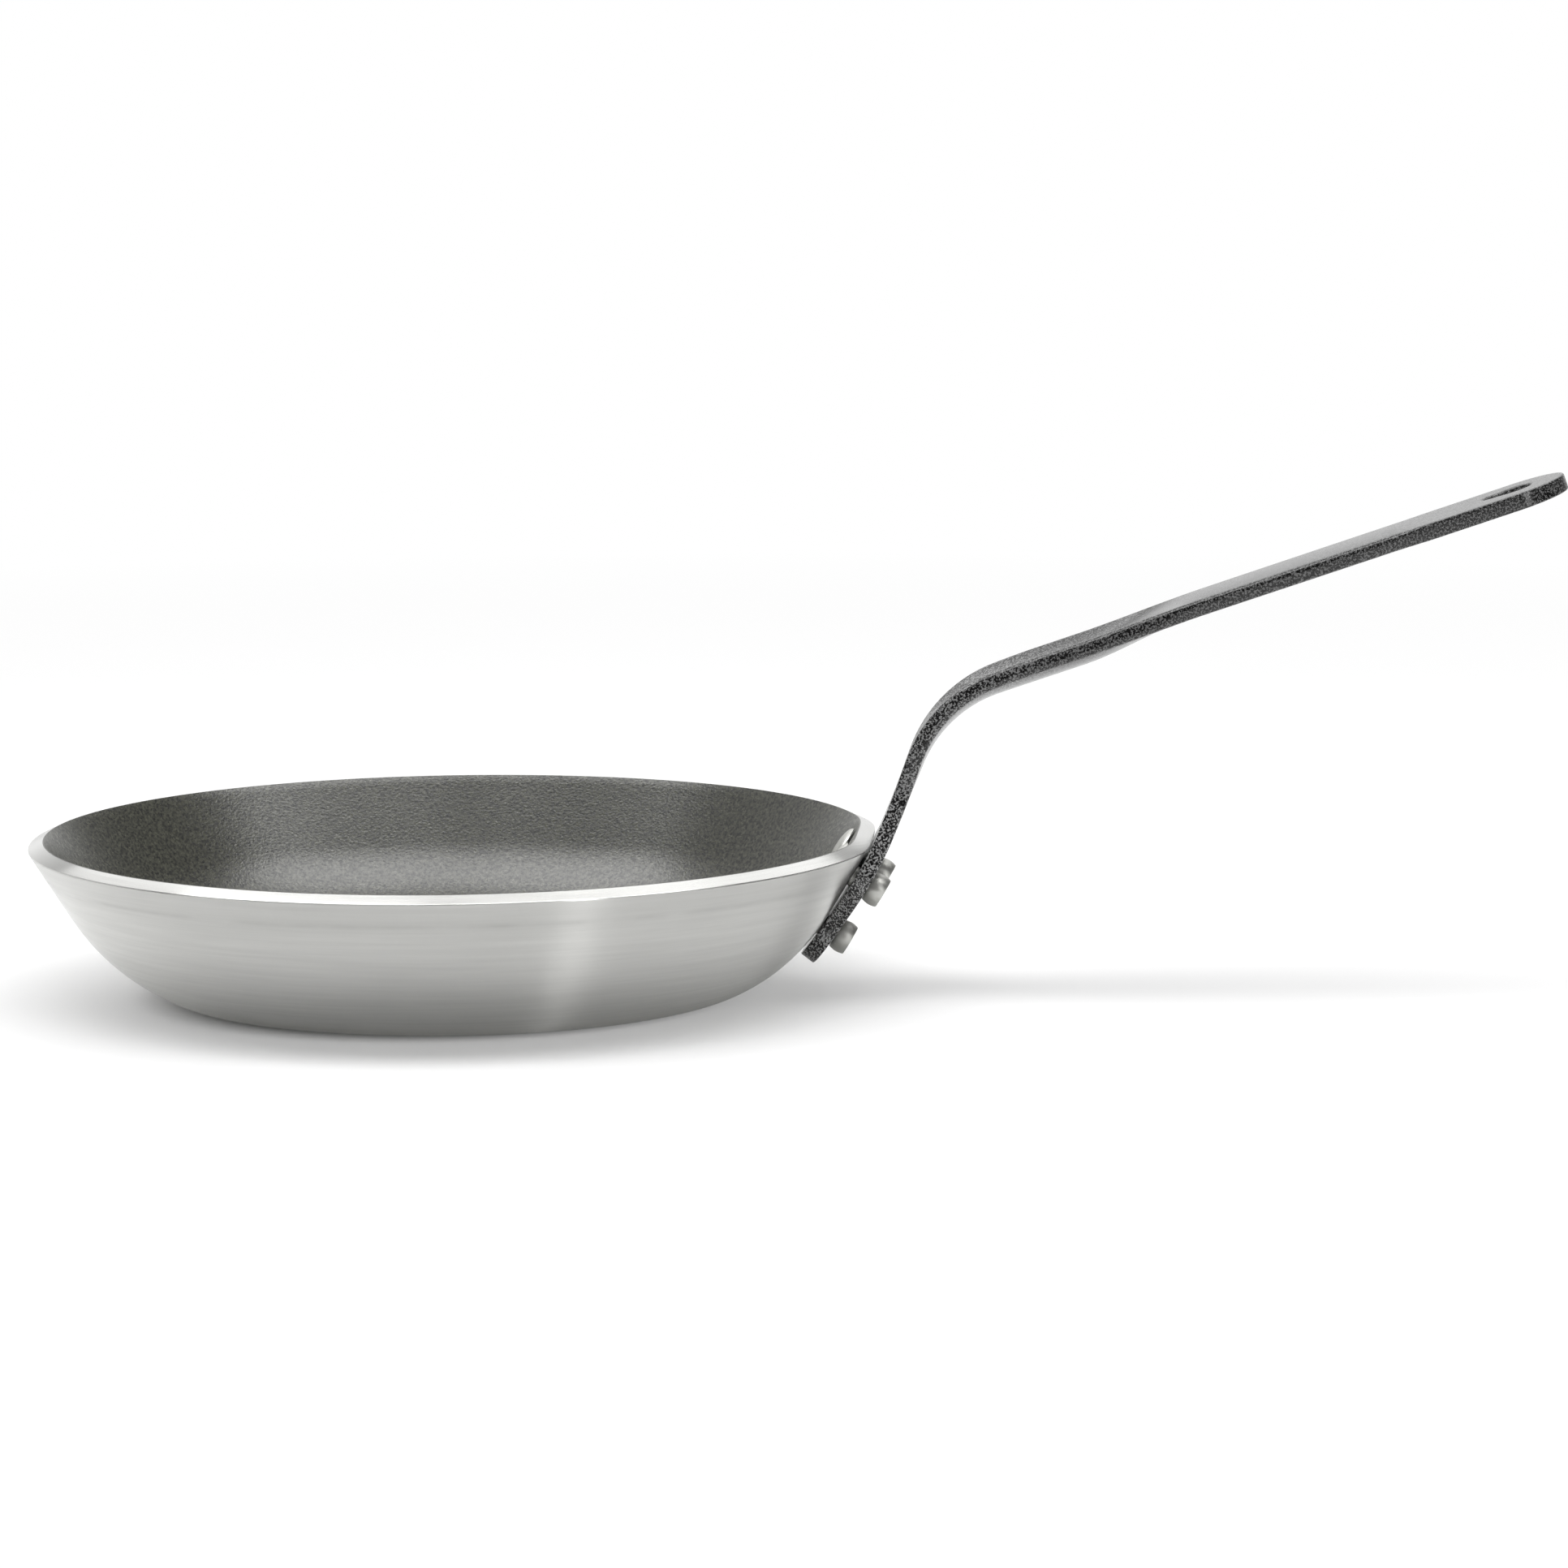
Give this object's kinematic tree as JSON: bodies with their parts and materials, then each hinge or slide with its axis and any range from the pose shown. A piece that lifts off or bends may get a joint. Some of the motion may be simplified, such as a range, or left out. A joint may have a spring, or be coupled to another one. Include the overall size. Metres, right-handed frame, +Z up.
{
  "type": "frying pan",
  "caption": "Frying pan with sloped walls, a bare bevelled rim, a dark non-stick lining and a long bent strip handle riveted to the wall, with a teardrop hanging hole at its tip.",
  "frame": {"origin": "centre of the flat underside of the base", "axes": "+Z up, square to the base; +X towards the handle's tip; +Y completes the right hand"},
  "size_m": [0.4315, 0.24, 0.1453],
  "materials": {
    "body_aluminium": "turned, satin, with fine lines round the axis",
    "nonstick": "satin coat over fine turned grooves",
    "handle_paint": "glossy hammertone paint, dark with grey speckle",
    "rivet_aluminium": "satin"
  },
  "bodies": {
    "root": {"pan_body": "body_aluminium", "nonstick_lining": "nonstick", "handle_strip": "handle_paint", "rivet_upper_left": "rivet_aluminium", "rivet_upper_right": "rivet_aluminium", "rivet_lower": "rivet_aluminium"}
  },
  "joints": []
}
